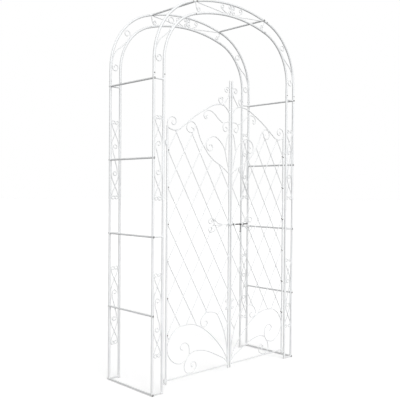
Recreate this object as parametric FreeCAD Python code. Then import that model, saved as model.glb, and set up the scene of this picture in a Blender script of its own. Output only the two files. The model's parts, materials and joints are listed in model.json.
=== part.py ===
import FreeCAD, Part
import math
import os
from FreeCAD import Vector

# Garden trellis arch with two gates.  X runs across the opening, Y from the gated front to the back,
# Z up from the ground.  The origin is the middle of the footprint.  Sizes are millimetres and degrees.

# frame
frame_width = 1112.0        # between the centres of the outer posts
frame_depth = 372.0         # between the centres of the front and back posts
spring_height = 1694.0      # where the straight posts turn into the arch
haunch_radius = 353.0       # outer tube centre, beside each post
crown_rise = 31.0           # crown top above the tops of the two haunch circles
arch_gap = 65.0             # outer tube centre to inner tube centre
tube_dia = 13.0
tube_wall = 1.0
joint_drop = 80.0           # section joint below the spring line

# bars between the arches
bar_dia = 10.0
bar_wall = 1.0
ground_bar_height = 8.0
top_bar_below_joint = 14.0
side_bar_count = 5
crown_bar_offset = 270.0    # from the middle line of the arch
rung_dia = 8.0
rung_levels = (0, 2, 4)     # which side bar levels carry a rung
panel_levels = (1, 3)       # which side bar levels have a scroll panel round them

# fasteners and plugs
bolt_dia = 4.9
bolt_hole_dia = 5.4
bolt_head_dia = 10.0
bolt_head_height = 3.2
insert_length = 15.0
insert_recess = 5.0         # from the post's wall to the threaded insert
insert_clear = 0.05
bolt_reach = 12.0           # shank inside the insert
spigot_length = 44.0
spigot_clear = 0.15
screw_dia = 4.0
screw_hole_dia = 4.3
screw_head_dia = 7.6
screw_head_height = 2.2
screw_set = 12.0            # joint to screw, along the upper tube
plug_lip = 2.0
plug_stem = 14.0
plug_clear = 0.1

# scrollwork
rod_dia = 5.0
weld_sink = 0.3             # how far a welded rod sinks into what it lies against
rod_clear = 0.4             # between two rods of one ornament
touch_clear = 0.1           # between two pieces of one fitting
curl_ease = 0.6             # below 1 a curl opens quickly from its tip
panel_half_height = 217.0
panel_cross = 140.0         # from the panel's middle to each crossing of its two long rods
haunch_curl_low = 14.0      # centre of the lower haunch curl, along the arch from the spring line
haunch_curl_high = 228.0

# gates
leaf_gap = 8.0              # between the two meeting stiles
stile_dia = 10.0
stile_wall = 1.0
stile_bottom = 45.0
meeting_stile_top = 1651.0
shoulder_drop = 283.0       # from the meeting stile's top down to the hinge stile's top
bottom_rail_height = 62.0
bottom_rail_dia = 8.0
top_rail_dia = 6.0
lattice_dia = 4.5
lattice_layer_gap = 0.04
lattice_columns = 8
lattice_half_rise = 95.0    # height from one row of crossings to the next
lattice_first_node = 107.0  # a crossing on the stile, well under the lowest rod
shortest_lattice_rod = 30.0

# the gate's scrolls are drawn on a template with these stile faces, top and bottom rail
drawn_near = 14.0
drawn_far = 460.0
drawn_top = 1651.0
drawn_rail = 62.0

# hinges
hinge_heights = (62.0, 1282.0)
pin_dia = 6.0
pin_clear = 0.05
eye_dia = 10.0
eye_height = 18.0
eye_post_clear = 4.8
pin_stand = 1.0             # eye above the bend of the pin
pin_top = 4.0               # pin above the eye
pin_bend = 5.0

# latch
latch_height = 850.0
latch_bolt_dia = 7.0
latch_bolt_clear = 0.05
latch_ring_dia = 14.0
latch_ring_width = 8.0
latch_ring_places = (14.0, 76.0)
latch_bolt_start = 6.0
latch_bolt_length = 120.0
latch_knob_place = 66.0
latch_knob_drop = 42.0
latch_knob_dia = 9.0
receiver_place = 24.0
receiver_clear = 1.7        # loose, so that the bolt finds the ring on the other leaf

# ornament in the crown
chord_end = 60.0            # where the two straight chords reach the inner tube
chord_start = 258.0

# what follows from the sizes above
tube_r = tube_dia / 2
rod_r = rod_dia / 2
bar_r = bar_dia / 2
stile_r = stile_dia / 2
rail_r = bottom_rail_dia / 2
lattice_r = lattice_dia / 2
outer_x = frame_width / 2
inner_x = outer_x - arch_gap
half_depth = frame_depth / 2
haunch_x = outer_x - haunch_radius
crown_drop = (haunch_x ** 2 - crown_rise ** 2) / (2 * crown_rise)
crown_z = spring_height - crown_drop
crown_radius = haunch_radius + math.hypot(haunch_x, crown_drop)
haunch_turn = math.atan2(crown_drop, haunch_x)
joint_height = spring_height - joint_drop
top_bar_height = joint_height - top_bar_below_joint
bar_pitch = (top_bar_height - ground_bar_height) / (side_bar_count - 1)
bar_levels = [ground_bar_height + bar_pitch * k for k in range(side_bar_count)]
beside_tube = arch_gap / 2 - tube_r - rod_r + weld_sink
hinge_x = inner_x - tube_r - eye_post_clear - eye_dia / 2
hinge_stile_x = hinge_x - eye_dia / 2 - stile_r + weld_sink
meeting_stile_x = leaf_gap / 2 + stile_r
leaf_near = meeting_stile_x + stile_r
leaf_far = hinge_stile_x - stile_r
leaf_width = leaf_far - leaf_near
hinge_stile_top = meeting_stile_top - shoulder_drop
strap_stand = stile_r + rod_r - weld_sink
latch_stand = strap_stand + rod_r + latch_ring_dia / 2 + touch_clear

sides = {"left": -1, "right": 1}
faces = {"front": -1, "back": 1}
nodes = {}


def keep(name, solids):
    nodes[name] = Part.Compound(solids) if len(solids) > 1 else solids[0]


# ---- smooth paths made of tangent arcs, as (x, z) points ----

def unit(v):
    size = math.hypot(v[0], v[1])
    return (v[0] / size, v[1] / size)


def toward(p, q):
    return (q[0] - p[0], q[1] - p[1])


def point_tangents(points):
    inner = []
    for before, here, after in zip(points, points[1:], points[2:]):
        a = toward(before, here)
        b = toward(here, after)
        long_a = math.hypot(*a)
        long_b = math.hypot(*b)
        inner.append(unit((a[0] / long_a * long_b + b[0] / long_b * long_a,
                           a[1] / long_a * long_b + b[1] / long_b * long_a)))
    first = mirrored(inner[0], toward(points[0], points[1]))
    last = mirrored(inner[-1], toward(points[-2], points[-1]))
    return [first] + inner + [last]


def mirrored(tangent, chord):
    c = unit(chord)
    along = tangent[0] * c[0] + tangent[1] * c[1]
    return (2 * along * c[0] - tangent[0], 2 * along * c[1] - tangent[1])


def arc_edge(p, tangent, q, y):
    """One arc that leaves p along the tangent and ends at q, or a line if it is nearly straight."""
    chord = toward(p, q)
    size = math.hypot(*chord)
    cross = (chord[0] * tangent[1] - chord[1] * tangent[0]) / size
    along = (chord[0] * tangent[0] + chord[1] * tangent[1]) / size
    angle = math.atan2(cross, along)
    start = Vector(p[0], y, p[1])
    end = Vector(q[0], y, q[1])
    if abs(angle) < 0.002:
        return Part.LineSegment(start, end).toShape()
    bulge = size / 2 * math.tan(angle / 2)
    middle = Vector((p[0] + q[0]) / 2 - chord[1] / size * bulge, y, (p[1] + q[1]) / 2 + chord[0] / size * bulge)
    return Part.Arc(start, middle, end).toShape()


def smooth_wire(points, y=0.0):
    """Two tangent arcs between each point and the next."""
    tangents = point_tangents(points)
    edges = []
    for p, q, t0, t1 in zip(points, points[1:], tangents, tangents[1:]):
        v = toward(p, q)
        along = v[0] * (t0[0] + t1[0]) + v[1] * (t0[1] + t1[1])
        square = v[0] ** 2 + v[1] ** 2
        bend = 1 - (t0[0] * t1[0] + t0[1] * t1[1])
        if bend < 1e-6:
            reach = square / (2 * along)
        else:
            reach = (math.sqrt(along ** 2 + 2 * bend * square) - along) / (2 * bend)
        middle = ((p[0] + q[0] + reach * (t0[0] - t1[0])) / 2, (p[1] + q[1] + reach * (t0[1] - t1[1])) / 2)
        edges.append(arc_edge(p, t0, middle, y))
        edges.append(arc_edge(middle, unit(toward_arc_end(middle, q, t1)), q, y))
    return Part.Wire(edges)


def toward_arc_end(p, q, end_tangent):
    """The direction at p of the arc that reaches q along end_tangent."""
    return mirrored(end_tangent, toward(p, q))


def swept(wire, dia):
    edge = wire.OrderedEdges[0]
    start = edge.valueAt(edge.FirstParameter)
    direction = edge.tangentAt(edge.FirstParameter)
    ring = Part.Wire(Part.Circle(start, direction, dia / 2).toShape())
    return wire.makePipe(Part.Face(ring)).Solids[0]


def swept_tube(wire, dia, wall):
    return swept(wire, dia).cut(swept(wire, dia - 2 * wall)).Solids[0]


def rod(points, side=1, y=0.0, dia=rod_dia):
    return swept(smooth_wire([(side * x, z) for x, z in points], y), dia)


def curl(centre, start_r, end_r, start_deg, end_deg, steps=8):
    """Points of a curl that opens quickly from its tip; angles are measured from +X towards +Z."""
    points = []
    for k in range(steps + 1):
        share = k / steps
        angle = math.radians(start_deg + (end_deg - start_deg) * share)
        opened = share if start_r < end_r else 1 - share
        r = min(start_r, end_r) + abs(end_r - start_r) * opened ** curl_ease
        points.append((centre[0] + r * math.cos(angle), centre[1] + r * math.sin(angle)))
    return points


def cylinder(start, end, dia):
    axis = end - start
    return Part.makeCylinder(dia / 2, axis.Length, start, axis)


def straight_tube(start, end, dia, wall):
    return cylinder(start, end, dia).cut(cylinder(start, end, dia - 2 * wall)).Solids[0]


# ---- the arch outline ----

def arch_point(s, t):
    """The point s along the arch from the spring line, and t outside the line between the two tubes."""
    middle_r = haunch_radius - arch_gap / 2
    if s < 0:
        return (outer_x - arch_gap / 2 + t, spring_height + s)
    if s < middle_r * haunch_turn:
        angle = s / middle_r
        return (haunch_x + (middle_r + t) * math.cos(angle), spring_height + (middle_r + t) * math.sin(angle))
    middle_r = crown_radius - arch_gap / 2
    angle = haunch_turn + (s - (haunch_radius - arch_gap / 2) * haunch_turn) / middle_r
    return ((middle_r + t) * math.cos(angle), crown_z + (middle_r + t) * math.sin(angle))


def on_circle(centre, radius, angle):
    return (centre[0] + radius * math.cos(angle), centre[1] + radius * math.sin(angle))


def circle_edge(centre, radius, start, end, y):
    ends = [on_circle(centre, radius, angle) for angle in (start, (start + end) / 2, end)]
    return Part.Arc(*[Vector(x, y, z) for x, z in ends]).toShape()


def haunch_wire(inset, side, y):
    radius = haunch_radius - inset
    x = side * (outer_x - inset)
    foot = Part.LineSegment(Vector(x, y, joint_height), Vector(x, y, spring_height)).toShape()
    centre = (side * haunch_x, spring_height)
    if side > 0:
        bend = circle_edge(centre, radius, 0, haunch_turn, y)
    else:
        bend = circle_edge(centre, radius, math.pi, math.pi - haunch_turn, y)
    return Part.Wire([foot, bend])


def crown_wire(inset, y):
    return Part.Wire([circle_edge((0, crown_z), crown_radius - inset, haunch_turn, math.pi - haunch_turn, y)])


def crown_height(x, inset=0.0):
    return crown_z + math.sqrt((crown_radius - inset) ** 2 - x ** 2)


def spigot_wire(inset, side, y):
    """Along both tubes, across the joint between a haunch and the crown."""
    half = spigot_length / 2
    turn = haunch_turn if side > 0 else math.pi - haunch_turn
    low = turn - side * half / (haunch_radius - inset)
    high = turn + side * half / (crown_radius - inset)
    return Part.Wire([circle_edge((side * haunch_x, spring_height), haunch_radius - inset, low, turn, y),
                      circle_edge((0, crown_z), crown_radius - inset, turn, high, y)])


# ---- frame tubes ----

def drilled(tube, places, y, dia):
    for x, z in places:
        tube = tube.cut(cylinder(Vector(x, y - tube_dia, z), Vector(x, y + tube_dia, z), dia))
    return tube.Solids[0]


def screw_places(inset, side):
    """The screws through a post joint and through a crown joint."""
    radius = crown_radius - inset
    turn = haunch_turn + screw_set / radius
    crown = on_circle((0, crown_z), radius, turn)
    return [(side * (outer_x - inset), joint_height + screw_set), (side * crown[0], crown[1])]


def make_tubes():
    screws = []
    spigots = []
    plugs = []
    insets = {"outer": 0.0, "inner": arch_gap}
    for face, face_sign in faces.items():
        y = face_sign * half_depth
        for place, inset in insets.items():
            for side, sign in sides.items():
                x = sign * (outer_x - inset)
                post = straight_tube(Vector(x, y, plug_lip), Vector(x, y, joint_height), tube_dia, tube_wall)
                if place == "outer":
                    post = drilled(post, [(x, z) for z in bar_levels], y, bolt_hole_dia)
                keep(f"{face}_{side}_{place}_post", [post])
                low, high = screw_places(inset, sign)
                haunch = swept_tube(haunch_wire(inset, sign, y), tube_dia, tube_wall)
                keep(f"{face}_{side}_{place}_haunch", [drilled(haunch, [low], y, screw_hole_dia)])
                spigots += make_spigots(inset, sign, y, low, high)
                screws += [make_screw(x_s, z_s, face_sign) for x_s, z_s in (low, high)]
                plug = end_plug(x, y, 0.0, plug_lip, tube_dia, tube_wall)
                if place == "outer":
                    plug = drilled(plug, [(x, ground_bar_height)], y, bolt_hole_dia)
                plugs.append(plug)
            crown = swept_tube(crown_wire(inset, y), tube_dia, tube_wall)
            crown = drilled(crown, [screw_places(inset, sign)[1] for sign in sides.values()], y, screw_hole_dia)
            if place == "outer":
                bar_z = crown_height(crown_bar_offset)
                ends = [(sign * crown_bar_offset, bar_z) for sign in sides.values()]
                crown = drilled(crown, ends, y, bolt_hole_dia)
            keep(f"{face}_crown_{place}", [crown])
    keep("joint_spigots", spigots)
    keep("joint_screws", screws)
    keep("foot_plugs", plugs)


def make_spigots(inset, sign, y, low, high):
    dia = tube_dia - 2 * tube_wall - 2 * spigot_clear
    x = sign * (outer_x - inset)
    half = spigot_length / 2
    lower = cylinder(Vector(x, y, joint_height - half), Vector(x, y, joint_height + half), dia)
    upper = swept(spigot_wire(inset, sign, y), dia)
    lower = drilled(lower, [low], y, screw_hole_dia)
    if inset == 0:
        lower = drilled(lower, [(x, top_bar_height)], y, bolt_hole_dia)
    return [lower, drilled(upper, [high], y, screw_hole_dia)]


def dome_head(centre, outward, dia, height):
    """A round head that stands on a plane and whose edge is rounded over."""
    head = Part.makeCylinder(dia / 2, height, centre, outward)
    rim = [edge for edge in head.Edges if abs((edge.CenterOfMass - centre).dot(outward) - height) < 0.01
           and len(edge.Vertexes) == 1]
    return head.makeFillet(height * 0.8, rim)


def make_screw(x, z, face_sign):
    outward = Vector(0, face_sign, 0)
    seat = Vector(x, face_sign * (half_depth + tube_r), z)
    inside = seat - outward * (tube_dia - tube_wall)
    shank = cylinder(inside, seat, screw_dia)
    return dome_head(seat, outward, screw_head_dia, screw_head_height).fuse(shank).removeSplitter().Solids[0]


def end_plug(x, y, low, high, dia, wall):
    """A push-in plug whose lip lies between two heights; its stem goes into the tube above or below."""
    lip = cylinder(Vector(x, y, low), Vector(x, y, high), dia)
    end = high + plug_stem if high > low else high - plug_stem
    stem = cylinder(Vector(x, y, high), Vector(x, y, end), dia - 2 * wall - 2 * plug_clear)
    return lip.fuse(stem).removeSplitter().Solids[0]


# ---- bars and rungs ----

def tube_outline(x, y, low, high):
    return cylinder(Vector(x, y, low), Vector(x, y, high), tube_dia)


def cross_bar(x, z, ends):
    """A tube from the front arch to the back arch, shaped to the two tubes that it meets."""
    bar = straight_tube(Vector(x, -half_depth, z), Vector(x, half_depth, z), bar_dia, bar_wall)
    pieces = bar.cut(Part.Compound(ends)).Solids
    return max(pieces, key=lambda solid: solid.Volume)


def bar_fasteners(x, z):
    bolts = []
    inserts = []
    for sign in faces.values():
        outward = Vector(0, sign, 0)
        middle = Vector(x, sign * half_depth, z)
        seat = middle + outward * tube_r
        insert_near = middle - outward * (tube_r + insert_recess)
        shank = cylinder(insert_near - outward * bolt_reach, seat, bolt_dia)
        head = dome_head(seat, outward, bolt_head_dia, bolt_head_height)
        bolts.append(head.fuse(shank).removeSplitter().Solids[0])
        insert_far = insert_near - outward * insert_length
        body = cylinder(insert_far, insert_near, bar_dia - 2 * bar_wall - 2 * insert_clear)
        inserts.append(body.cut(cylinder(insert_far, insert_near, bolt_dia + 2 * insert_clear)).Solids[0])
    return bolts, inserts


def make_bars():
    bolts = []
    inserts = []
    for side, sign in sides.items():
        bars = []
        x = sign * outer_x
        for z in bar_levels:
            posts = [tube_outline(x, y * half_depth, z - tube_dia, z + tube_dia) for y in faces.values()]
            bars.append(cross_bar(x, z, posts))
            bar_bolts, bar_inserts = bar_fasteners(x, z)
            bolts += bar_bolts
            inserts += bar_inserts
        keep(f"{side}_side_bars", bars)
    crown_bars = []
    for sign in sides.values():
        x = sign * crown_bar_offset
        z = crown_height(crown_bar_offset)
        crowns = [swept(crown_wire(0.0, y * half_depth), tube_dia) for y in faces.values()]
        crown_bars.append(cross_bar(x, z, crowns))
        bar_bolts, bar_inserts = bar_fasteners(x, z)
        bolts += bar_bolts
        inserts += bar_inserts
    keep("crown_bars", crown_bars)
    keep("bar_bolts", bolts)
    keep("bar_inserts", inserts)


def make_rungs():
    for face, face_sign in faces.items():
        y = face_sign * half_depth
        rungs = []
        for sign in sides.values():
            for level in rung_levels:
                z = bar_levels[level]
                ends = [tube_outline(sign * x, y, z - tube_dia, z + tube_dia) for x in (outer_x, inner_x)]
                bar = cylinder(Vector(sign * inner_x, y, z), Vector(sign * outer_x, y, z), rung_dia)
                rungs.append(max(bar.cut(Part.Compound(ends)).Solids, key=lambda solid: solid.Volume))
        keep(f"{face}_rungs", rungs)


# ---- scrolls of the frame ----

def panel_long_rod():
    """From the top curl across to the far tube, along it, and back to the bottom curl, as (t, dz)."""
    reach = beside_tube - 0.15
    r = 11.5
    flare = panel_half_height - r - rod_r
    top = curl((r - reach, flare), 3.6, r, -160, 180)
    across = [(3 - reach, flare - 18), (0, panel_cross), (reach - 5, panel_cross - 42)]
    start = top + across + [(reach - 0.4, panel_cross - 76), (reach, panel_cross - 100)]
    return start + [(t, -dz) for t, dz in reversed(start)]


def panel_s_scroll():
    """A scroll between the two long rods, as (t, dz)."""
    r = 15.0
    reach = beside_tube - rod_dia - rod_clear - 2.4
    upper = curl((reach - r, 71.0), 4.0, r, -140, 190, 9)
    return upper + [(0.0, 0.0)] + [(-t, -dz) for t, dz in reversed(upper)]


def make_panels():
    middle = outer_x - arch_gap / 2
    for face, face_sign in faces.items():
        y = face_sign * half_depth
        for side, sign in sides.items():
            rods = []
            for level in panel_levels:
                z = bar_levels[level]
                long_rod = panel_long_rod()
                rods.append(rod([(middle - t, z + dz) for t, dz in long_rod], sign, y - rod_r))
                rods.append(rod([(middle + t, z + dz) for t, dz in long_rod], sign, y + rod_r))
                rods.append(rod([(middle - t, z + dz) for t, dz in panel_s_scroll()], sign, y))
            keep(f"{face}_{side}_post_scrolls", rods)


def haunch_scroll():
    """From the lower curl up the outer tube and across to the upper curl on the inner tube."""
    r = beside_tube - 2.5
    lower = curl((haunch_curl_low, 0.0), 6.0, r, 460, 90, 9)
    upper = curl((haunch_curl_high, 0.0), r, 6.0, 270, 640, 9)
    span = haunch_curl_high - haunch_curl_low
    between = [(0.16, 1.0), (0.38, 0.6), (0.64, -0.6), (0.84, -1.0)]
    middle = [(haunch_curl_low + span * share, beside_tube * off) for share, off in between]
    return lower + middle + upper


def make_haunch_scrolls():
    for face, face_sign in faces.items():
        scrolls = []
        for sign in sides.values():
            scrolls.append(rod([arch_point(s, t) for s, t in haunch_scroll()], sign, face_sign * half_depth))
        keep(f"{face}_haunch_scrolls", scrolls)


def crown_hook():
    """Hangs from the outer tube under a crown bar and curls up off the inner tube."""
    along = haunch_length() + (crown_radius - arch_gap / 2) * (bar_angle() - haunch_turn)
    r = 13.0
    hook = curl((along + 6, r - beside_tube), r, 4.0, 180, 560)
    return [(along - 7, beside_tube), (along - 8, beside_tube * 0.4)] + hook


def haunch_length():
    return (haunch_radius - arch_gap / 2) * haunch_turn


def bar_angle():
    return math.acos(crown_bar_offset / crown_radius)


def crown_chord(sign, y):
    high = crown_height(chord_start) - tube_r - rod_r + weld_sink
    low = crown_height(chord_end, arch_gap) + tube_r + rod_r - weld_sink
    return cylinder(Vector(sign * chord_start, y, high), Vector(sign * chord_end, y, low), rod_dia)


def c_scroll(upper, back):
    """A curl, a straight back and the same curl the other way up; the curl ends where the back begins."""
    top = upper[-1][1]
    half = upper + [(back, top - min(4.0, top * 0.4))]
    return half + [(x, -t) for x, t in reversed(half)]


def crown_ornament():
    """Half of the ornament in the middle, as (x, t): an upright C and a scroll that rises beside it."""
    back = rod_r + rod_clear / 2
    r = 10.5
    upper = curl((back + r, beside_tube - r), 3.6, r, -200, 180, 9)
    upright = c_scroll(upper, back)
    r = 13.5
    rising = [(32.0, -beside_tube), (52.0, -beside_tube + 7)] + curl((72.0, beside_tube - r), r, 4.0, -80, 290)
    return [upright, rising]


def make_crown_scrolls():
    for face, face_sign in faces.items():
        y = face_sign * half_depth
        rods = []
        for sign in sides.values():
            rods.append(crown_chord(sign, y))
            rods.append(rod([arch_point(s, t) for s, t in crown_hook()], sign, y))
            for points in crown_ornament():
                rods.append(rod([(x, crown_height(x, arch_gap / 2) + t) for x, t in points], sign, y))
        keep(f"{face}_crown_scrolls", rods)


# ---- gate leaves, drawn as the right leaf ----

def from_template(points, base):
    """Stretches the template to the leaf's width; base is how far its heights move."""
    stretch = leaf_width / (drawn_far - drawn_near)
    return [(leaf_near + (x - drawn_near) * stretch, z + base) for x, z in points]


def low(points):
    return from_template(points, bottom_rail_height - drawn_rail)


def high(points):
    return from_template(points, meeting_stile_top - drawn_top)


def lower_scrolls():
    """Three rods fan out from the foot of the meeting stile, and an S scroll stands on the rail."""
    tall = [(16.2, 106), (16.7, 138), (20, 176), (30, 218), (48, 268), (70, 313), (104, 361), (133, 373),
            (160, 376), (190, 370), (212, 353), (222, 328), (214, 308), (196, 300), (178, 305),
            (172, 319), (180, 329), (190, 326)]
    broad = [(14, 86), (43, 141), (88, 196), (150, 255), (205, 294), (262, 321), (326, 330), (385, 322),
             (430, 290), (457.8, 222), (443, 178), (410, 145), (367, 132), (334, 142)]
    near = [(14, 74), (36, 97), (70, 117), (115, 139), (160, 160), (205, 174), (240, 180), (272, 180),
            (299, 171)]
    ess = [(350, 200), (362, 206), (366, 220), (354, 233), (334, 236), (312, 222), (303, 194), (306, 168),
           (322, 147), (334, 127), (338, 100), (325, 78), (299, 68.2), (270, 75), (253, 96), (258, 118),
           (275, 125), (289, 113), (285, 101), (275, 101)]
    rosette = rosette_points()
    return [low(tall), low(broad), low(near), low(ess), rosette]


def rosette_points():
    """A small C scroll whose back lies against the meeting stile."""
    back = leaf_near + rod_r - weld_sink
    r = 9.0
    middle = bottom_rail_height + 338
    upper = curl((back + r, 20.0), 3.4, r, -200, 180)
    return [(x, middle + z) for x, z in c_scroll(upper, back)]


def upper_scrolls():
    """The curls under and beside the swept top rail, as lists of points."""
    sweep = [(297, 1371), (287, 1368), (283, 1357), (292, 1348), (308, 1346), (326, 1354), (333, 1373),
             (322, 1394), (300, 1403), (277, 1396), (260, 1374), (246, 1342), (230, 1309), (208, 1279),
             (185, 1250), (158, 1224), (127, 1202), (95, 1186), (68, 1173), (46, 1158), (14, 1136)]
    cee = [(166, 1284), (155, 1289), (144, 1280), (147, 1263), (165, 1255), (183, 1266), (189, 1290),
           (179, 1314), (158, 1329), (131, 1335), (104, 1326), (72, 1301), (51, 1275), (40, 1247),
           (32, 1214), (23, 1184), (14, 1158)]
    spindle = [(14, 1362), (26, 1340), (34, 1305), (38, 1266)]
    hanging = [(183, 1447), (191, 1441), (187, 1430), (197, 1428), (207, 1441), (203, 1459), (186, 1471),
               (160, 1473), (128, 1458), (98, 1434), (65, 1415)]
    shoulder = [(14, 1422), (35, 1421), (52, 1414), (62, 1398), (59, 1379), (45, 1368), (31, 1374),
                (30, 1387), (40, 1391)]
    bud = [(14, 1580), (26, 1557), (41, 1537), (57, 1516)]
    finial = [(14, 1608), (28, 1614), (42, 1611), (49, 1600), (43, 1588), (31, 1589), (28, 1598),
              (36, 1602)]
    perched = [(84, 1545), (90, 1551), (97, 1546), (95, 1531), (82, 1520.2), (68, 1529), (64, 1547),
               (71, 1556), (79, 1551), (76, 1545)]
    return [high(points) for points in (sweep, cee, spindle, hanging, shoulder, bud, finial, perched)]


def stile_curl():
    """Grows out of the plug on the hinge stile and curls in over the leaf, as (x, z)."""
    top = hinge_stile_top + plug_lip
    steps = [(0, 0), (1.5, 18), (10, 37), (33, 47), (53, 40), (59, 23), (51, 10), (37, 8), (29, 17),
             (36, 25)]
    return [(hinge_stile_x - inward, top + rise) for inward, rise in steps]


def top_rail_points():
    return high([(460, 1362), (440, 1353), (419, 1350), (392, 1354), (350, 1381), (306, 1413),
                 (268, 1438), (230, 1460), (190, 1481), (158, 1497), (117, 1510), (75, 1514), (50, 1508),
                 (30, 1493), (14, 1474)])


def polyline(points):
    return [(p.x, p.z) for p in smooth_wire(points).discretize(Distance=1.0)]


def crossings(start, end, lines):
    """Shares of the way from start to end where the straight line crosses any of the outlines."""
    d = toward(start, end)
    shares = []
    for line in lines:
        for p, q in zip(line, line[1:]):
            e = toward(p, q)
            cross = d[0] * e[1] - d[1] * e[0]
            if abs(cross) < 1e-9:
                continue
            offset = toward(start, p)
            share = (offset[0] * e[1] - offset[1] * e[0]) / cross
            along = (offset[0] * d[1] - offset[1] * d[0]) / cross
            if 0 <= share <= 1 and 0 <= along <= 1:
                shares.append(share)
    return shares


def outline_heights(lines, x):
    heights = []
    for line in lines:
        for p, q in zip(line, line[1:]):
            if p[0] != q[0] and (p[0] - x) * (q[0] - x) <= 0:
                heights.append(p[1] + (q[1] - p[1]) * (x - p[0]) / (q[0] - p[0]))
    return heights


def lattice_lines(slant):
    """One layer's rods, in the space over the lower scrolls and under the top rail; slant 1 rises outwards."""
    rise = lattice_half_rise * lattice_columns
    floor = [polyline(points) for points in lower_scrolls()[:2]]
    ceiling = [polyline(points) for points in (top_rail_points(), upper_scrolls()[0])]
    rods = []
    node = lattice_first_node
    while node - rise < hinge_stile_top:
        start = (leaf_near if slant > 0 else leaf_far, node - rise)
        end = (start[0] + slant * leaf_width, node)
        shares = sorted([0.0, 1.0] + crossings(start, end, floor + ceiling))
        for first, last in zip(shares, shares[1:]):
            a, b, middle = [(start[0] + (end[0] - start[0]) * share, start[1] + rise * share)
                            for share in (first, last, (first + last) / 2)]
            over = middle[1] > max(outline_heights(floor, middle[0]), default=bottom_rail_height)
            under = middle[1] < min(outline_heights(ceiling, middle[0]), default=0)
            if over and under and math.hypot(*toward(a, b)) > shortest_lattice_rod:
                rods.append((a, b))
        node += 2 * lattice_half_rise
    return rods


def make_lattice(side, sign, stiles):
    rods = []
    layer = lattice_r + lattice_layer_gap / 2
    for slant in (1, -1):
        y = slant * layer - half_depth
        for a, b in lattice_lines(slant):
            stretch = lattice_dia / math.hypot(*toward(a, b))
            d = toward(a, b)
            if abs(a[0] - leaf_near) < 0.01 or abs(a[0] - leaf_far) < 0.01:
                a = (a[0] - d[0] * stretch, a[1] - d[1] * stretch)
            if abs(b[0] - leaf_near) < 0.01 or abs(b[0] - leaf_far) < 0.01:
                b = (b[0] + d[0] * stretch, b[1] + d[1] * stretch)
            bar = cylinder(Vector(sign * a[0], y, a[1]), Vector(sign * b[0], y, b[1]), lattice_dia)
            rods.append(max(bar.cut(stiles).Solids, key=lambda solid: solid.Volume))
    keep(f"{side}_gate_lattice", rods)


def make_strap(side, sign):
    """A rod across the leaf's middle with a three-pronged end, and the ring that the latch uses."""
    y = -half_depth - strap_stand
    z = latch_height
    bar = cylinder(Vector(sign * (meeting_stile_x - stile_r), y, z), Vector(sign * 138.0, y, z), rod_dia)
    spread = rod_dia + 2 * touch_clear
    prong = [(72, spread), (84, spread + 0.3), (100, spread + 4), (118, 20), (138, 34), (158, 37),
             (173, 27), (170, 13), (156, 9), (148, 18), (155, 25)]
    prongs = [rod([(x, z + flip * dz) for x, dz in prong], sign, y) for flip in (1, -1)]
    places = latch_ring_places if side == "right" else (receiver_place,)
    bore = latch_bolt_dia + 2 * (latch_bolt_clear if side == "right" else receiver_clear)
    rings = []
    for place in places:
        near = Vector(sign * (place - latch_ring_width / 2), -half_depth - latch_stand, z)
        far = Vector(sign * (place + latch_ring_width / 2), -half_depth - latch_stand, z)
        rings.append(cylinder(near, far, latch_ring_dia).cut(cylinder(near, far, bore)).Solids[0])
    keep(f"{side}_latch_strap", [bar] + prongs + rings)


def make_gates():
    for side, sign in sides.items():
        y = -half_depth
        ends = {"hinge": (hinge_stile_x, hinge_stile_top), "meeting": (meeting_stile_x, meeting_stile_top)}
        plugs = []
        outlines = []
        for stile, (x, top) in ends.items():
            foot = Vector(sign * x, y, stile_bottom)
            head = Vector(sign * x, y, top)
            keep(f"{side}_gate_{stile}_stile", [straight_tube(foot, head, stile_dia, stile_wall)])
            outlines.append(cylinder(foot, head, stile_dia))
            plugs.append(end_plug(sign * x, y, stile_bottom - plug_lip, stile_bottom, stile_dia, stile_wall))
            plugs.append(end_plug(sign * x, y, top + plug_lip, top, stile_dia, stile_wall))
        keep(f"{side}_gate_plugs", plugs)
        stiles = Part.Compound(outlines)
        near = Vector(sign * meeting_stile_x, y, bottom_rail_height)
        far = Vector(sign * hinge_stile_x, y, bottom_rail_height)
        rail = cylinder(near, far, bottom_rail_dia).cut(stiles).Solids
        keep(f"{side}_gate_bottom_rail", [max(rail, key=lambda solid: solid.Volume)])
        keep(f"{side}_gate_top_rail", [rod(top_rail_points(), sign, y, top_rail_dia)])
        keep(f"{side}_gate_lower_scrolls", [rod(points, sign, y) for points in lower_scrolls()])
        upper = upper_scrolls() + [stile_curl()]
        keep(f"{side}_gate_upper_scrolls", [rod(points, sign, y) for points in upper])
        make_lattice(side, sign, stiles)
        make_strap(side, sign)


# ---- hinges and latch ----

def hinge_pin(side_sign, height):
    """A rod that stands up through the eye and bends over to the inner post."""
    foot_z = height - eye_height / 2 - pin_stand - pin_bend
    y = -half_depth
    x = side_sign * hinge_x
    corner = (x + side_sign * pin_bend, foot_z + pin_bend)
    bend_middle = on_circle(corner, pin_bend, math.radians(225 if side_sign > 0 else 315))
    foot = Part.LineSegment(Vector(side_sign * inner_x, y, foot_z), Vector(corner[0], y, foot_z)).toShape()
    bend_start = Vector(corner[0], y, foot_z)
    bend = Part.Arc(bend_start, Vector(bend_middle[0], y, bend_middle[1]), Vector(x, y, corner[1]))
    stem = Part.LineSegment(Vector(x, y, corner[1]), Vector(x, y, height + eye_height / 2 + pin_top)).toShape()
    pin = swept(Part.Wire([foot, bend.toShape(), stem]), pin_dia)
    post = tube_outline(side_sign * inner_x, y, foot_z - tube_dia, foot_z + tube_dia)
    return max(pin.cut(post).Solids, key=lambda solid: solid.Volume)


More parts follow.
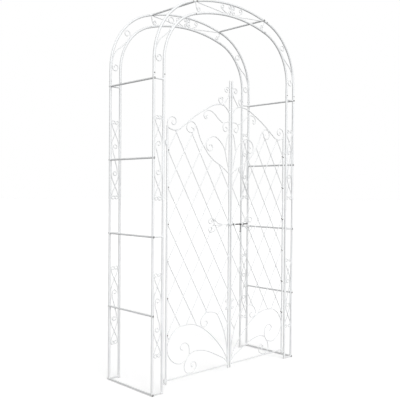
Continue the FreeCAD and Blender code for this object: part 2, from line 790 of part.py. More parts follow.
def make_hinges():
    pins = []
    for side, sign in sides.items():
        eyes = []
        for height in hinge_heights:
            pins.append(hinge_pin(sign, height))
            low_end = Vector(sign * hinge_x, -half_depth, height - eye_height / 2)
            high_end = Vector(sign * hinge_x, -half_depth, height + eye_height / 2)
            bore = cylinder(low_end, high_end, pin_dia + 2 * pin_clear)
            eyes.append(cylinder(low_end, high_end, eye_dia).cut(bore).Solids[0])
        keep(f"{side}_hinge_eyes", eyes)
    keep("hinge_pins", pins)


def make_latch_bolt():
    y = -half_depth - latch_stand
    start = Vector(latch_bolt_start, y, latch_height)
    bolt = cylinder(start, start + Vector(latch_bolt_length, 0, 0), latch_bolt_dia)
    hang = Vector(latch_knob_place, y, latch_height)
    drop = hang - Vector(0, 0, latch_knob_drop)
    stem = cylinder(hang, drop, rod_dia)
    ball = Part.makeSphere(latch_knob_dia / 2, drop)
    keep("latch_bolt", [bolt.fuse([stem, ball]).removeSplitter().Solids[0]])


def build():
    make_tubes()
    make_bars()
    make_rungs()
    make_panels()
    make_haunch_scrolls()
    make_crown_scrolls()
    make_gates()
    make_hinges()
    make_latch_bolt()
    os.makedirs("parts", exist_ok=True)
    for name, shape in nodes.items():
        shape.exportStep(f"parts/{name}.step")
    print(len(nodes), "nodes", sum(len(shape.Solids) for shape in nodes.values()), "solids")


build()
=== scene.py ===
import json
import math

import bmesh
import bpy
from mathutils import Matrix, Vector
from mathutils.bvhtree import BVHTree


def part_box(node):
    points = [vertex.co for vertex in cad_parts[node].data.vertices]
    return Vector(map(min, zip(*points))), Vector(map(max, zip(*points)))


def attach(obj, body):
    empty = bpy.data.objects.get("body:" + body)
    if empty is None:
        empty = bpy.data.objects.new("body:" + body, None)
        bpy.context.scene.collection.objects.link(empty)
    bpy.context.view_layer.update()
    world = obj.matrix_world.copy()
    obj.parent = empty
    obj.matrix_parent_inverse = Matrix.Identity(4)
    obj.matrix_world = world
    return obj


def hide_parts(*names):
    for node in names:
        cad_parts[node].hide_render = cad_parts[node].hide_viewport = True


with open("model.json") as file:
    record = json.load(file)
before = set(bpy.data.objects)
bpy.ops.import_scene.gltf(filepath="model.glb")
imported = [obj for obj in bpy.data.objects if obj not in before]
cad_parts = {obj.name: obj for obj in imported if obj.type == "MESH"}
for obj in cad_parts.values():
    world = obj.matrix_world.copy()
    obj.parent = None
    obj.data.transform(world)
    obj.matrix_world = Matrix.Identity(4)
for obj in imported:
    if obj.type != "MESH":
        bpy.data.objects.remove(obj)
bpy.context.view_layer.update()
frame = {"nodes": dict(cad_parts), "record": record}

nodes = frame["nodes"]
bodyOf = {name: body for body, names in frame["record"]["behaviour"]["bodies"].items() for name in names}

# sizes of the frame that the added pieces follow, in metres
arch = {
    "outerX": 0.556, "innerX": 0.491, "halfDepth": 0.186,
    "tubeRadius": 0.0065,
    "springHeight": 1.694, "jointHeight": 1.614,
    "haunchRadius": 0.353, "crownRise": 0.031,
}


# a socket that can be added, multiplied and so on
class Sock:
    def __init__(self, tree, out):
        self.tree = tree
        self.out = out

    def op(self, kind, other=None, flip=False):
        node = self.tree.nodes.new("ShaderNodeMath")
        node.operation = kind
        ends = [self, other] if not flip else [other, self]
        for slot, value in zip(node.inputs, ends):
            if value is None:
                continue
            if isinstance(value, Sock):
                self.tree.links.new(value.out, slot)
            else:
                slot.default_value = value
        return Sock(self.tree, node.outputs[0])

    def __add__(self, other): return self.op("ADD", other)
    def __radd__(self, other): return self.op("ADD", other)
    def __sub__(self, other): return self.op("SUBTRACT", other)
    def __rsub__(self, other): return self.op("SUBTRACT", other, True)
    def __mul__(self, other): return self.op("MULTIPLY", other)
    def __rmul__(self, other): return self.op("MULTIPLY", other)


# one node tree under construction
class Shade:
    def __init__(self, tree):
        self.tree = tree

    def node(self, kind, settings=None, out=0, **values):
        made = self.tree.nodes.new(kind)
        for key, value in (settings or {}).items():
            setattr(made, key, value)
        for key, value in values.items():
            numbered = key[0] == "i" and key[1:].isdigit()      # i3 means the fourth socket
            slot = made.inputs[int(key[1:]) if numbered else key.replace("_", " ")]
            if isinstance(value, Sock):
                self.tree.links.new(value.out, slot)
            else:
                slot.default_value = value
        return made if out is None else Sock(self.tree, made.outputs[out])

    def place(self):
        return self.node("ShaderNodeTexCoord", out="Object")

    def noise(self, where, scale, detail):
        return self.node("ShaderNodeTexNoise", Vector=where, Scale=scale, Detail=detail, Roughness=0.5)

    def mixColour(self, share, a, b):
        return self.node("ShaderNodeMix", {"data_type": "RGBA"}, out=2, i0=share, i6=a, i7=b)

    def limit(self, value, low, high, newLow=0.0, newHigh=1.0):
        return self.node("ShaderNodeMapRange", {"clamp": True}, Value=value, i1=low, i2=high, i3=newLow,
                         i4=newHigh)


def startMaterial(name):
    material = bpy.data.materials.new(name)
    material.use_nodes = True
    shade = Shade(material.node_tree)
    principled = material.node_tree.nodes["Principled BSDF"]
    return material, shade, principled


def feed(shade, principled, **links):
    for key, value in links.items():
        slot = principled.inputs[key.replace("_", " ")]
        if isinstance(value, Sock):
            shade.tree.links.new(value.out, slot)
        else:
            slot.default_value = value


coatLook = {
    "white": (0.83, 0.84, 0.845, 1), "shadow": (0.78, 0.79, 0.80, 1), "dust": (0.66, 0.64, 0.60, 1),
    "cloudsPerMetre": 9.0,
    "settledPerMetre": 60.0, "settledShare": 0.5,
    "splashPerMetre": 140.0, "splashShare": 0.6, "splashHeight": 0.10,
    "roughLow": 0.34, "roughHigh": 0.50, "roughPerMetre": 35.0,
    "peelPerMetre": 620.0, "peelStrength": 0.12, "peelDepth": 0.00025,
    "runsPerMetre": 70.0, "runsShare": 0.8,
    "clearWeight": 0.15, "clearRoughness": 0.25,
}


def makePowderCoat(name, look):
    material, shade, principled = startMaterial(name)
    place = shade.place()
    cloudy = shade.limit(shade.noise(place, look["cloudsPerMetre"], 4.0), 0.35, 0.7)
    colour = shade.mixColour(cloudy, look["white"], look["shadow"])
    facing = shade.node("ShaderNodeNewGeometry", out="Normal")
    upward = shade.node("ShaderNodeSeparateXYZ", out=2, Vector=facing)
    # dust lies on what faces up, and mud splashes the feet
    patches = shade.limit(shade.noise(place, look["settledPerMetre"], 5.0), 0.42, 0.72)
    settled = shade.limit(upward, 0.75, 1.0) * patches * look["settledShare"]
    height = shade.node("ShaderNodeSeparateXYZ", out=2, Vector=place)
    spots = shade.limit(shade.noise(place, look["splashPerMetre"], 4.0), 0.45, 0.75)
    splash = shade.limit(height, look["splashHeight"], 0.0) * spots * look["splashShare"]
    colour = shade.mixColour(settled, colour, look["dust"])
    colour = shade.mixColour(splash, colour, look["dust"])
    rough = shade.noise(place, look["roughPerMetre"], 3.0)
    rough = shade.limit(rough, 0.3, 0.7, look["roughLow"], look["roughHigh"])
    peel = shade.noise(place, look["peelPerMetre"], 2.0)
    runs = shade.noise(place, look["runsPerMetre"], 2.0)
    bump = shade.node("ShaderNodeBump", Strength=look["peelStrength"], Distance=look["peelDepth"],
                      Height=peel + runs * look["runsShare"])
    feed(shade, principled, Base_Color=colour, Roughness=rough, Normal=bump, Coat_Weight=look["clearWeight"],
         Coat_Roughness=look["clearRoughness"])
    return material


metalLooks = {
    "zincPlate": {
        "pale": (0.58, 0.59, 0.60, 1), "stainAndShade": (0.36, 0.35, 0.33, 1), "blotchesPerMetre": 260.0,
        "grainPerMetre": (60.0, 900.0, 900.0), "grainStrength": 0.25, "grainDepth": 0.00008,
        "roughLow": 0.28, "roughHigh": 0.5,
    },
    "latchSteel": {
        "pale": (0.33, 0.33, 0.34, 1), "stainAndShade": (0.14, 0.13, 0.12, 1), "blotchesPerMetre": 260.0,
        "grainPerMetre": (60.0, 500.0, 500.0), "grainStrength": 0.25, "grainDepth": 0.00008,
        "roughLow": 0.30, "roughHigh": 0.55,
    },
}


def makeMetal(name, look):
    material, shade, principled = startMaterial(name)
    place = shade.place()
    blotch = shade.limit(shade.noise(place, look["blotchesPerMetre"], 5.0), 0.35, 0.7)
    colour = shade.mixColour(blotch, look["pale"], look["stainAndShade"])
    along = shade.node("ShaderNodeMapping", Vector=place, Scale=look["grainPerMetre"])
    streak = shade.noise(along, 1.0, 3.0)
    rough = shade.limit(streak, 0.3, 0.7, look["roughLow"], look["roughHigh"])
    bump = shade.node("ShaderNodeBump", Strength=look["grainStrength"], Distance=look["grainDepth"],
                      Height=streak + blotch * 0.5)
    feed(shade, principled, Base_Color=colour, Roughness=rough, Normal=bump, Metallic=1.0)
    return material


plasticLook = {
    "pale": (0.74, 0.74, 0.72, 1), "worn": (0.60, 0.59, 0.56, 1), "scuffsPerMetre": 180.0, "scuffShare": 0.7,
    "roughLow": 0.5, "roughRise": 0.2, "grainPerMetre": 2200.0, "grainStrength": 0.2, "grainDepth": 0.0001,
}


def makePlastic(name, look):
    material, shade, principled = startMaterial(name)
    place = shade.place()
    scuff = shade.limit(shade.noise(place, look["scuffsPerMetre"], 5.0), 0.5, 0.75)
    colour = shade.mixColour(scuff * look["scuffShare"], look["pale"], look["worn"])
    grain = shade.noise(place, look["grainPerMetre"], 1.0)
    bump = shade.node("ShaderNodeBump", Strength=look["grainStrength"], Distance=look["grainDepth"],
                      Height=grain)
    rough = look["roughLow"] + scuff * look["roughRise"]
    feed(shade, principled, Base_Color=colour, Roughness=rough, Normal=bump)
    return material


seamLook = {
    "deep": (0.20, 0.20, 0.20, 1), "dusty": (0.34, 0.33, 0.31, 1), "patchesPerMetre": 400.0,
    "roughLow": 0.7, "roughRise": 0.2,
}


def makeSeam(look):
    material, shade, principled = startMaterial("tubeSeam")
    tone = shade.limit(shade.noise(shade.place(), look["patchesPerMetre"], 3.0), 0.3, 0.7)
    colour = shade.mixColour(tone, look["deep"], look["dusty"])
    feed(shade, principled, Base_Color=colour, Roughness=look["roughLow"] + tone * look["roughRise"])
    return material


# colours of the painted shade in the lattice's end welds on the hinge stile
weldShadeLook = {
    "paleShade": (0.40, 0.39, 0.37, 1), "stainAndShade": (0.07, 0.06, 0.055, 1), "patchesPerMetre": 240.0,
    "lumpStrength": 0.3, "lumpDepth": 0.0002, "roughLow": 0.55, "roughRise": 0.25,
}


# painted shade: the welds where the lattice rods meet the hinge stile are coloured dark grey in noisy patches,
# standing in for the shadow there
def makeWeldShade(look):
    material, shade, principled = startMaterial("paintedShadeWeld")
    place = shade.place()
    shadePatches = shade.limit(shade.noise(place, look["patchesPerMetre"], 4.0), 0.32, 0.55)
    colour = shade.mixColour(shadePatches, look["paleShade"], look["stainAndShade"])
    bump = shade.node("ShaderNodeBump", Strength=look["lumpStrength"], Distance=look["lumpDepth"],
                      Height=shadePatches)
    rough = look["roughLow"] + shadePatches * look["roughRise"]
    feed(shade, principled, Base_Color=colour, Roughness=rough, Normal=bump)
    return material


finishes = {
    "powder_coat": makePowderCoat("powderCoat", coatLook),
    "zinc_plate": makeMetal("zincPlate", metalLooks["zincPlate"]),
    "latch_steel": makeMetal("latchSteel", metalLooks["latchSteel"]),
    "plug_plastic": makePlastic("plugPlastic", plasticLook),
}
seamFinish = makeSeam(seamLook)
# the second material is painted shade for the lattice's end welds
weldShadeFinish = makeWeldShade(weldShadeLook)


def setFinish(thing, material):
    thing.data.materials.clear()
    thing.data.materials.append(material)


for part in frame["record"]["subparts"]:
    setFinish(nodes[part["node"]], finishes[part["material_slot"]])
print("finishes on", len(nodes), "frame pieces")

stage = {
    "floorRadius": 60.0, "floorSides": 96, "floorTone": 0.90, "floorVary": 0.01, "patchesPerMetre": 0.7,
    "floorGlow": 0.31,
}


def makeFloor(look):
    mesh = bpy.data.meshes.new("floor")
    bm = bmesh.new()
    bmesh.ops.create_circle(bm, cap_ends=True, segments=look["floorSides"], radius=look["floorRadius"])
    bm.to_mesh(mesh)
    bm.free()
    floor = bpy.data.objects.new("floor", mesh)
    bpy.context.scene.collection.objects.link(floor)
    material, shade, principled = startMaterial("paleFloor")
    tone = shade.noise(shade.place(), look["patchesPerMetre"], 2.0)
    tone = shade.limit(tone, 0.3, 0.7, look["floorTone"] - look["floorVary"], look["floorTone"])
    grey = shade.node("ShaderNodeCombineColor", Red=tone, Green=tone, Blue=tone)
    feed(shade, principled, Base_Color=grey, Roughness=0.9)
    principled.inputs["Specular IOR Level"].default_value = 0.0
    principled.inputs["Emission Color"].default_value = (1, 1, 1, 1)
    principled.inputs["Emission Strength"].default_value = look["floorGlow"]
    setFinish(floor, material)
    floor.visible_diffuse = False
    floor.visible_glossy = False


makeFloor(stage)

lights = {
    "keyStrength": 2.7, "keyAngle": 50, "keyFrom": (-0.20, -1.0, 0.36),
    "fillStrength": 0.8, "fillAngle": 90, "fillFrom": (-0.9, 0.1, 0.9),
    "skyTop": 0.42, "skyLevel": 0.30, "skyBelow": 0.27, "fadeTo": -0.25,
}


def makeSun(name, strength, angle, towards):
    lamp = bpy.data.lights.new(name, "SUN")
    lamp.energy = strength
    lamp.angle = math.radians(angle)
    thing = bpy.data.objects.new(name, lamp)
    thing.rotation_euler = Vector(towards).to_track_quat("Z", "Y").to_euler()
    bpy.context.scene.collection.objects.link(thing)


makeSun("keyLight", lights["keyStrength"], lights["keyAngle"], lights["keyFrom"])
makeSun("fillLight", lights["fillStrength"], lights["fillAngle"], lights["fillFrom"])


def makeSky(look):
    world = bpy.data.worlds.new("studio")
    bpy.context.scene.world = world
    world.use_nodes = True
    shade = Shade(world.node_tree)
    back = world.node_tree.nodes["Background"]
    towards = shade.node("ShaderNodeTexCoord", out="Generated")
    height = shade.node("ShaderNodeSeparateXYZ", out=2, Vector=towards)
    light = shade.limit(height, look["fadeTo"], 0.0, look["skyBelow"], look["skyLevel"])
    light = light + shade.limit(height, 0.0, 1.0, 0.0, look["skyTop"] - look["skyLevel"])
    seen = shade.node("ShaderNodeLightPath", out="Is Camera Ray")
    strength = light * (1 - seen) + seen
    world.node_tree.links.new(strength.out, back.inputs["Strength"])
    back.inputs["Color"].default_value = (1, 1, 1, 1)


makeSky(lights)

camera = {
    "place": (-2.505, -2.594, 1.043), "turn": (89.05, -0.43, -43.32),      # metres and degrees
    "lens": 55.6, "sensor": 36.0,
}
eye = bpy.data.objects.new("camera", bpy.data.cameras.new("camera"))
eye.location = camera["place"]
eye.rotation_euler = [math.radians(angle) for angle in camera["turn"]]
eye.data.lens = camera["lens"]
eye.data.sensor_width = camera["sensor"]
bpy.context.scene.collection.objects.link(eye)
bpy.context.scene.camera = eye
bpy.context.scene.view_settings.view_transform = "Standard"
print("stage, lights and camera ready")


# the boxes of a frame piece's separate solids, as (low, high)
def solidsOf(name):
    mesh = nodes[name].data
    keys = {}
    ids = [keys.setdefault(tuple(round(c, 5) for c in v.co), len(keys)) for v in mesh.vertices]
    root = list(range(len(keys)))

    def find(k):
        while root[k] != k:
            root[k] = root[root[k]]
            k = root[k]
        return k

    for face in mesh.polygons:
        first = find(ids[face.vertices[0]])
        for v in face.vertices[1:]:
            root[find(ids[v])] = first
    groups = {}
    for place, k in keys.items():
        groups.setdefault(find(k), []).append(place)
    boxes = []
    for places in groups.values():
        low = Vector([min(p[i] for p in places) for i in range(3)])
        high = Vector([max(p[i] for p in places) for i in range(3)])
        boxes.append((low, high))
    return boxes


def addObject(name, mesh):
    thing = bpy.data.objects.new(name, mesh)
    bpy.context.scene.collection.objects.link(thing)
    return thing


# round, or a hexagon whose corners lie at the radius
def ringRadius(radius, kind, angle):
    if kind == "round":
        return radius
    inner = (angle + math.pi / 6) % (math.pi / 3) - math.pi / 6
    return radius * math.cos(math.pi / 6) / math.cos(inner)


sharpAngle = math.radians(38)


# a closed shape turned about Z; each step is (radius, height), with "hex" where it is six-sided
def turned(name, profile, segments=36):
    bm = bmesh.new()
    rings = []
    for radius, height, *kind in profile:
        if radius == 0:
            rings.append([bm.verts.new((0, 0, height))])
            continue
        ring = []
        for k in range(segments):
            angle = 2 * math.pi * k / segments
            r = ringRadius(radius, kind[0] if kind else "round", angle)
            ring.append(bm.verts.new((r * math.cos(angle), r * math.sin(angle), height)))
        rings.append(ring)
    for a, b in zip(rings, rings[1:]):
        for k in range(segments):
            corners = [a[k % len(a)], a[(k + 1) % len(a)], b[(k + 1) % len(b)], b[k % len(b)]]
            bm.faces.new([v for i, v in enumerate(corners) if v not in corners[:i]])
    bmesh.ops.recalc_face_normals(bm, faces=bm.faces)
    mesh = bpy.data.meshes.new(name)
    bm.to_mesh(mesh)
    bm.free()
    mesh.polygons.foreach_set("use_smooth", [True] * len(mesh.polygons))
    mesh.set_sharp_from_angle(angle=sharpAngle)
    return mesh


# puts the template on every point, turned to the point's facing, with a little random size
def scatterTree(name, template, material, axis):
    tree = bpy.data.node_groups.new(name, "GeometryNodeTree")
    tree.interface.new_socket(name="Geometry", in_out="INPUT", socket_type="NodeSocketGeometry")
    tree.interface.new_socket(name="Smallest", in_out="INPUT", socket_type="NodeSocketFloat")
    tree.interface.new_socket(name="Largest", in_out="INPUT", socket_type="NodeSocketFloat")
    tree.interface.new_socket(name="Seed", in_out="INPUT", socket_type="NodeSocketInt")
    tree.interface.new_socket(name="Geometry", in_out="OUTPUT", socket_type="NodeSocketGeometry")
    build = Shade(tree)
    inputs = ("Geometry", "Smallest", "Largest", "Seed")
    given = {key: build.node("NodeGroupInput", out=key) for key in inputs}
    facing = build.node("GeometryNodeInputNamedAttribute", {"data_type": "FLOAT_VECTOR"}, Name="facing")
    turn = build.node("FunctionNodeAlignRotationToVector", {"axis": axis}, Vector=facing)
    size = build.node("FunctionNodeRandomValue", {"data_type": "FLOAT"}, out=1, i2=given["Smallest"],
                      i3=given["Largest"], Seed=given["Seed"])
    shape = build.node("GeometryNodeObjectInfo", out="Geometry", Object=template)
    spread = build.node("GeometryNodeInstanceOnPoints", Points=given["Geometry"], Instance=shape, Rotation=turn,
                        Scale=size)
    whole = build.node("GeometryNodeRealizeInstances", Geometry=spread)
    painted = build.node("GeometryNodeSetMaterial", Geometry=whole, Material=material)
    build.node("NodeGroupOutput", out=None, Geometry=painted)
    return tree


# places holds (point, facing); the result is one plain mesh object
def scatter(name, template, places, material, axis="Z", smallest=1.0, largest=1.0, seed=1):
    points = bpy.data.meshes.new(name + "Points")
    points.from_pydata([point for point, facing in places], [], [])
    facings = points.attributes.new("facing", "FLOAT_VECTOR", "POINT")
    facings.data.foreach_set("vector", [c for point, facing in places for c in facing])
    holder = addObject(name + "Holder", points)
    model = addObject(name + "Template", template)
    tree = scatterTree(name + "Tree", model, material, axis)
    modifier = holder.modifiers.new("scatter", "NODES")
    modifier.node_group = tree
    wanted = {"Smallest": smallest, "Largest": largest, "Seed": seed}
    for item in tree.interface.items_tree:
        if item.in_out == "INPUT" and item.name in wanted:
            modifier[item.identifier] = wanted[item.name]
    bpy.context.view_layer.update()
    graph = bpy.context.evaluated_depsgraph_get()
    mesh = bpy.data.meshes.new_from_object(holder.evaluated_get(graph))
    mesh.name = name
    mesh.materials.clear()
    mesh.materials.append(material)
    mesh.polygons.foreach_set("material_index", [0] * len(mesh.polygons))
    bpy.data.objects.remove(holder)
    bpy.data.objects.remove(model)
    return addObject(name, mesh)


bolt = {
    "headRadius": 0.0050, "headHeight": 0.0032, "socket": 0.0017, "socketDepth": 0.0020,
    "shank": 0.0024, "shankLength": 0.029, "washer": 0.0058, "washerHeight": 0.0006,
}
screw = {
    "headRadius": 0.0038, "headHeight": 0.0022, "socket": 0.0013, "socketDepth": 0.0013,
    "shank": 0.0020, "shankLength": 0.011, "washer": 0.0, "washerHeight": 0.0,      # it has no washer
}


def headProfile(look):
    r, h, s = look["headRadius"], look["headHeight"], look["socket"]
    steps = [(0, h - look["socketDepth"] - s * 0.3), (s * 0.9, h - look["socketDepth"], "hex"),
             (s, h - 0.0002, "hex"), (s * 1.12, h, "round")]
    steps += [(r * 0.55, h * 0.985), (r * 0.74, h * 0.90), (r * 0.88, h * 0.72), (r * 0.97, h * 0.45),
              (r, h * 0.25 + look["washerHeight"] * 0.5)]
    if look["washer"]:
        w, t = look["washer"], look["washerHeight"]
        steps += [(r * 0.99, t), (w - 0.0001, t), (w, t * 0.7), (w, t * 0.1), (w - 0.0001, 0.0)]
    else:
        steps += [(r, 0.0)]
    return steps + [(look["shank"], 0.0), (look["shank"], -look["shankLength"]), (0, -look["shankLength"])]


def headPlaces(name):
    seat = arch["halfDepth"] + arch["tubeRadius"]
    places = []
    for low, high in solidsOf(name):
        side = 1 if low.y + high.y > 0 else -1
        places.append((((low.x + high.x) / 2, side * seat, (low.z + high.z) / 2), (0, side, 0)))
    return places


boltHeads = scatter("boltHeads", turned("boltHead", headProfile(bolt)), headPlaces("bar_bolts"),
                    finishes["zinc_plate"])
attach(boltHeads, "arch")
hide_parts("bar_bolts")
screwHeads = scatter("screwHeads", turned("screwHead", headProfile(screw)), headPlaces("joint_screws"),
                     finishes["zinc_plate"])
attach(screwHeads, "arch")
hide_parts("joint_screws")

# the lip stands on the ground and the rest is inside the tube
foot = {
    "profile": [(0, 0.0002), (0.0030, 0.0002), (0.0034, 0.0), (0.0056, 0.0), (0.0062, 0.0002),
                (0.0065, 0.0006), (0.0065, 0.0018), (0.0064, 0.0020), (0.0055, 0.0020), (0.0054, 0.0035),
                (0.00545, 0.0040), (0.0053, 0.0044), (0.0053, 0.0155), (0.0049, 0.0160), (0, 0.0160)],
}
footPlaces = []
for low, high in solidsOf("foot_plugs"):
    footPlaces.append((((low.x + high.x) / 2, (low.y + high.y) / 2, low.z), (0, 0, 1)))
footPlugs = scatter("footPlugs", turned("footPlug", foot["profile"]), footPlaces, finishes["plug_plastic"])
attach(footPlugs, "arch")
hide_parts("foot_plugs")

# domed caps in the ends of the leaves' uprights
cap = {
    "lip": 0.0020,
    "profile": [(0, 0.0036), (0.0016, 0.0035), (0.0030, 0.0031), (0.0041, 0.0023), (0.0048, 0.0012),
                (0.0050, 0.0004), (0.0050, 0.0), (0.00388, 0.0), (0.00388, -0.0130), (0.0034, -0.0139),
                (0, -0.0139)],
}
for side in ("left", "right"):
    places = []
    for low, high in solidsOf(side + "_gate_plugs"):
        up = high.z > 1.0
        seat = high.z - cap["lip"] if up else low.z + cap["lip"]
        places.append((((low.x + high.x) / 2, (low.y + high.y) / 2, seat), (0, 0, 1 if up else -1)))
    caps = scatter(side + "StileCaps", turned(side + "Cap", cap["profile"]), places, finishes["plug_plastic"])
    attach(caps, side + "_gate")
    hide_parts(side + "_gate_plugs")
print("bolts, screws, plugs and caps")

# thin dark seams where the frame's tubes meet
seam = {"outer": 0.00656, "halfWidth": 0.00035, "depth": 0.0003, "sides": 40}


def seamPlaces():
    haunchX = arch["outerX"] - arch["haunchRadius"]
    drop = (haunchX ** 2 - arch["crownRise"] ** 2) / (2 * arch["crownRise"])
    angle = math.atan2(drop, haunchX)
    places = []
    for y in (-arch["halfDepth"], arch["halfDepth"]):
        for side in (-1, 1):
            for x in (arch["outerX"], arch["innerX"]):
                places.append(((side * x, y, arch["jointHeight"]), (0, 0, 1)))
                radius = arch["haunchRadius"] - (arch["outerX"] - x)
                jointX = haunchX + radius * math.cos(angle)
                jointZ = arch["springHeight"] + radius * math.sin(angle)
                places.append(((side * jointX, y, jointZ), (-side * math.sin(angle), 0, math.cos(angle))))
    return places


def seamProfile(look):
    w, t = look["outer"], look["halfWidth"]
    inner = w - look["depth"]
    return [(inner, -t), (w, -t * 0.7), (w, t * 0.7), (inner, t), (inner, -t)]


seamRing = turned("seamRing", seamProfile(seam), seam["sides"])
tubeSeams = scatter("tubeSeams", seamRing, seamPlaces(), seamFinish)
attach(tubeSeams, "arch")
print("tube seams")

latch = {"radius": 0.0035, "chamfer": 0.0006, "stem": 0.0025, "knob": 0.0045, "knobFromEnd": 0.060}


def makeLatch(look):
    low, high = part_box("latch_bolt")
    axisZ = high.z - look["radius"]
    y = (low.y + high.y) / 2
    length = high.x - low.x
    r, c = look["radius"], look["chamfer"]
    steps = [(0, 0), (r - c * 2, 0), (r - c * 0.6, c * 0.4), (r, c * 1.6), (r, length - c * 1.6),
             (r - c * 0.6, length - c * 0.4), (r - c * 2, length), (0, length)]
    rodMesh = turned("latchRod", steps)
    rodMesh.transform(Matrix.Translation((low.x, y, axisZ)) @ Matrix.Rotation(math.pi / 2, 4, "Y"))
    knobX = low.x + look["knobFromEnd"]
    k, s = look["knob"], look["stem"]
    neck = axisZ - low.z - r      # where the stem meets the rod
    steps = [(0, 0.0), (k * 0.45, 0.0003), (k * 0.8, 0.0014), (k * 0.97, 0.0030), (k, 0.0045),
             (k * 0.95, 0.0060), (k * 0.75, 0.0077), (s * 1.02, 0.0090), (s * 1.0, 0.0098),
             (s * 1.35, 0.0101), (s * 1.42, 0.0106), (s * 1.35, 0.0111), (s, 0.0114), (s, neck - 0.0012),
             (s * 1.25, neck - 0.0004), (s * 1.45, neck + 0.0010), (0, neck + 0.0012)]
    knobMesh = turned("latchKnob", steps)
    knobMesh.transform(Matrix.Translation((knobX, y, low.z)))
    bm = bmesh.new()
    bm.from_mesh(rodMesh)
    bm.from_mesh(knobMesh)
    mesh = bpy.data.meshes.new("latchRodAndKnob")
    bm.to_mesh(mesh)
    bm.free()
    mesh.set_sharp_from_angle(angle=sharpAngle)
    return addObject("latchRodAndKnob", mesh)


latchPiece = makeLatch(latch)
setFinish(latchPiece, finishes["latch_steel"])
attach(latchPiece, "latch_bolt")
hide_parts("latch_bolt")
print("latch")

# weld beads where rods lie against tubes and each other
weld = {
    "touch": 0.00045, "apart": 0.013,      # how near a rod lies, and how far it is from bead to bead
    "step": 0.004, "rounds": 9, "shortest": 0.0015,
    "length": 0.0034, "width": 0.0016, "endLength": 0.0070, "endWidth": 0.0036,      # halves of a bead
    "lumps": 0.10, "smallest": 0.8, "largest": 1.25, "seed": 11,
}
crossing = {
    "first": 0.107, "rise": 0.095, "rows": 24, "columns": 8, "near": 0.014, "stileRadius": 0.005,
    "layer": 0.00227, "rod": 0.00225, "slack": 0.0006,
    "radius": 0.0034, "thick": 0.0019, "smallest": 0.9, "largest": 1.1,
}


def beadShape(name, half):
    bm = bmesh.new()
    bmesh.ops.create_icosphere(bm, subdivisions=2, radius=1.0)
    for v in bm.verts:
        lump = 1 + weld["lumps"] * math.sin(5.1 * v.co.x + 1.3) * math.cos(4.3 * v.co.y + 0.4)
        v.co = Vector((v.co.x * half[0], v.co.y * half[1], v.co.z * half[2])) * lump
    mesh = bpy.data.meshes.new(name)
    bm.to_mesh(mesh)
    bm.free()
    mesh.polygons.foreach_set("use_smooth", [True] * len(mesh.polygons))
    return mesh


# the rod's surface as points no further apart than the step
def finePoints(name, look):
    bm = bmesh.new()
    bm.from_mesh(nodes[name].data)
    bmesh.ops.remove_doubles(bm, verts=bm.verts, dist=0.00001)
    for _ in range(look["rounds"]):
        long = [edge for edge in bm.edges if edge.calc_length() > look["step"]]
        if not long:
            break
        bmesh.ops.subdivide_edges(bm, edges=long, cuts=1)
    points = [v.co.copy() for v in bm.verts]
    bm.free()
    return points


def treeOf(names):
    verts, faces = [], []
    for name in names:
        mesh = nodes[name].data
        start = len(verts)
        verts += [v.co.copy() for v in mesh.vertices]
        faces += [[start + v for v in face.vertices] for face in mesh.polygons]
    return BVHTree.FromPolygons(verts, faces)


# (point, direction) of each stretch where a rod lies against one of the other pieces
def touches(rods, against, look):
    tree = treeOf(against)
    hits = []
    for name in rods:
        for point in finePoints(name, look):
            found = tree.find_nearest(point, look["touch"])
            if found[0] is not None:
                hits.append(found[0])
    places = []
    left = sorted(hits, key=lambda p: (round(p.z, 4), round(p.x, 4), round(p.y, 4)))
    while left:
        seed = left[0]
        group = [p for p in left if (p - seed).length < look["apart"]]
        left = [p for p in left if (p - seed).length >= look["apart"]]
        middle = sum(group, Vector()) / len(group)
        spread = max(group, key=lambda p: (p - middle).length) - middle
        facing = spread.normalized() if spread.length > look["shortest"] else Vector((0, 0, 1))
        places.append((tuple(middle), tuple(facing)))
    return places


# the lattice's crossings that have a rod in both layers
def crossingPlaces(side, look):
    name = side + "_gate_lattice"
    sign = 1 if side == "right" else -1
    tree = treeOf([name])
    low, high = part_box(side + "_gate_hinge_stile")
    far = (low.x + high.x) / 2 * sign - look["stileRadius"]
    pitch = (far - look["near"]) / look["columns"]
    places = []
    for column in range(1, look["columns"]):
        for row in range(look["rows"]):
            if (row + column) % 2:
                continue
            z = look["first"] + look["rise"] * row
            x = sign * (look["near"] + pitch * column)
            ends = [Vector((x, -arch["halfDepth"] + layer, z)) for layer in (-look["layer"], look["layer"])]
            if all(tree.find_nearest(p, look["rod"] + look["slack"])[0] is not None for p in ends):
                places.append(((x, -arch["halfDepth"], z), (0, 1, 0)))
    return places


strap = {"ringLength": 0.02, "prongHeight": 0.02, "fromEnd": 0.006, "ringSide": 0.0015}


# beside each latch ring, and where each prong leaves the strap's bar
def strapPlaces(side, look):
    places = []
    solids = solidsOf(side + "_latch_strap")
    for low, high in solids:
        middle = (low + high) / 2
        if high.x - low.x < look["ringLength"]:
            for dz in (-look["ringSide"], look["ringSide"]):
                places.append(((middle.x, high.y, middle.z + dz), (1, 0, 0)))
        elif high.z - low.z > look["prongHeight"]:
            x = min(low.x, high.x, key=abs)
            x += math.copysign(look["fromEnd"], x)
            up = middle.z > min((a.z + b.z) / 2 for a, b in solids) + look["prongHeight"] / 2
            barZ = low.z if up else high.z
            places.append(((x, middle.y, barZ), (1, 0, 0)))
    return places


def joinPieces(name, pieces):
    bm = bmesh.new()
    for piece in pieces:
        bm.from_mesh(piece.data)
        bpy.data.objects.remove(piece)
    mesh = bpy.data.meshes.new(name)
    bm.to_mesh(mesh)
    bm.free()
    return addObject(name, mesh)


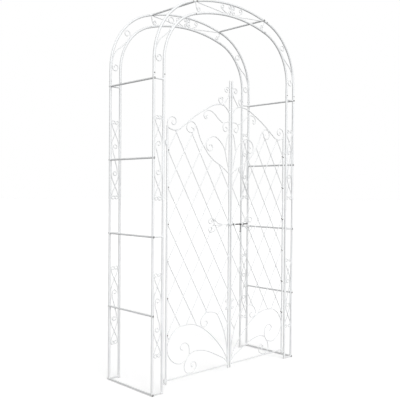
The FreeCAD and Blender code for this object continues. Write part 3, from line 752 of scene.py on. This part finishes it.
def finishBeads(piece, body, material):
    setFinish(piece, material)
    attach(piece, body)
    print(piece.name, len(piece.data.polygons), "faces")


beadHalf = (weld["length"], weld["width"], weld["width"])
endHalf = (weld["endLength"], weld["endWidth"], weld["endWidth"])
crossHalf = (crossing["radius"], crossing["radius"], crossing["thick"])
archRods = [name for name in nodes if bodyOf[name] == "arch" and ("scrolls" in name or "rungs" in name)]
tubeEnds = ("_post", "_haunch", "_inner", "_outer")
archTubes = [name for name in nodes if bodyOf[name] == "arch" and name.endswith(tubeEnds)]
archTouches = touches(archRods, archTubes, weld)
archTouches += touches(["hinge_pins"], [name for name in archTubes if "inner_post" in name], weld)
archBeads = scatter("archWelds", beadShape("archBead", beadHalf), archTouches, finishes["powder_coat"], "X",
                    weld["smallest"], weld["largest"], weld["seed"])
finishBeads(archBeads, "arch", finishes["powder_coat"])

for side in ("left", "right"):
    gate = side + "_gate_"
    uprights = [gate + "hinge_stile", gate + "meeting_stile"]
    rails = [gate + "bottom_rail", gate + "top_rail"]
    scrolls = [gate + "lower_scrolls", gate + "upper_scrolls"]
    found = touches(scrolls + rails + [side + "_latch_strap", side + "_hinge_eyes"], uprights, weld)
    found += touches([gate + "lattice"], [gate + "meeting_stile"], weld)
    found += touches(scrolls, rails, weld)
    found += touches([gate + "lattice"], scrolls + rails, weld)
    found += strapPlaces(side, strap)
    along = scatter(side + "Along", beadShape(side + "Bead", beadHalf), found, finishes["powder_coat"], "X",
                    weld["smallest"], weld["largest"], weld["seed"] + 1)
    crossed = scatter(side + "Crossed", beadShape(side + "CrossBead", crossHalf),
                      crossingPlaces(side, crossing), finishes["powder_coat"], "Z", crossing["smallest"],
                      crossing["largest"], weld["seed"] + 2)
    finishBeads(joinPieces(side + "GateWelds", [along, crossed]), side + "_gate", finishes["powder_coat"])
    # the lattice's end welds on the hinge stile take the painted shade material
    ends = scatter(side + "LatticeEndWelds", beadShape(side + "EndBead", endHalf),
                   touches([gate + "lattice"], [gate + "hinge_stile"], weld), weldShadeFinish, "X", weld["smallest"],
                   weld["largest"], weld["seed"] + 3)
    finishBeads(ends, side + "_gate", weldShadeFinish)
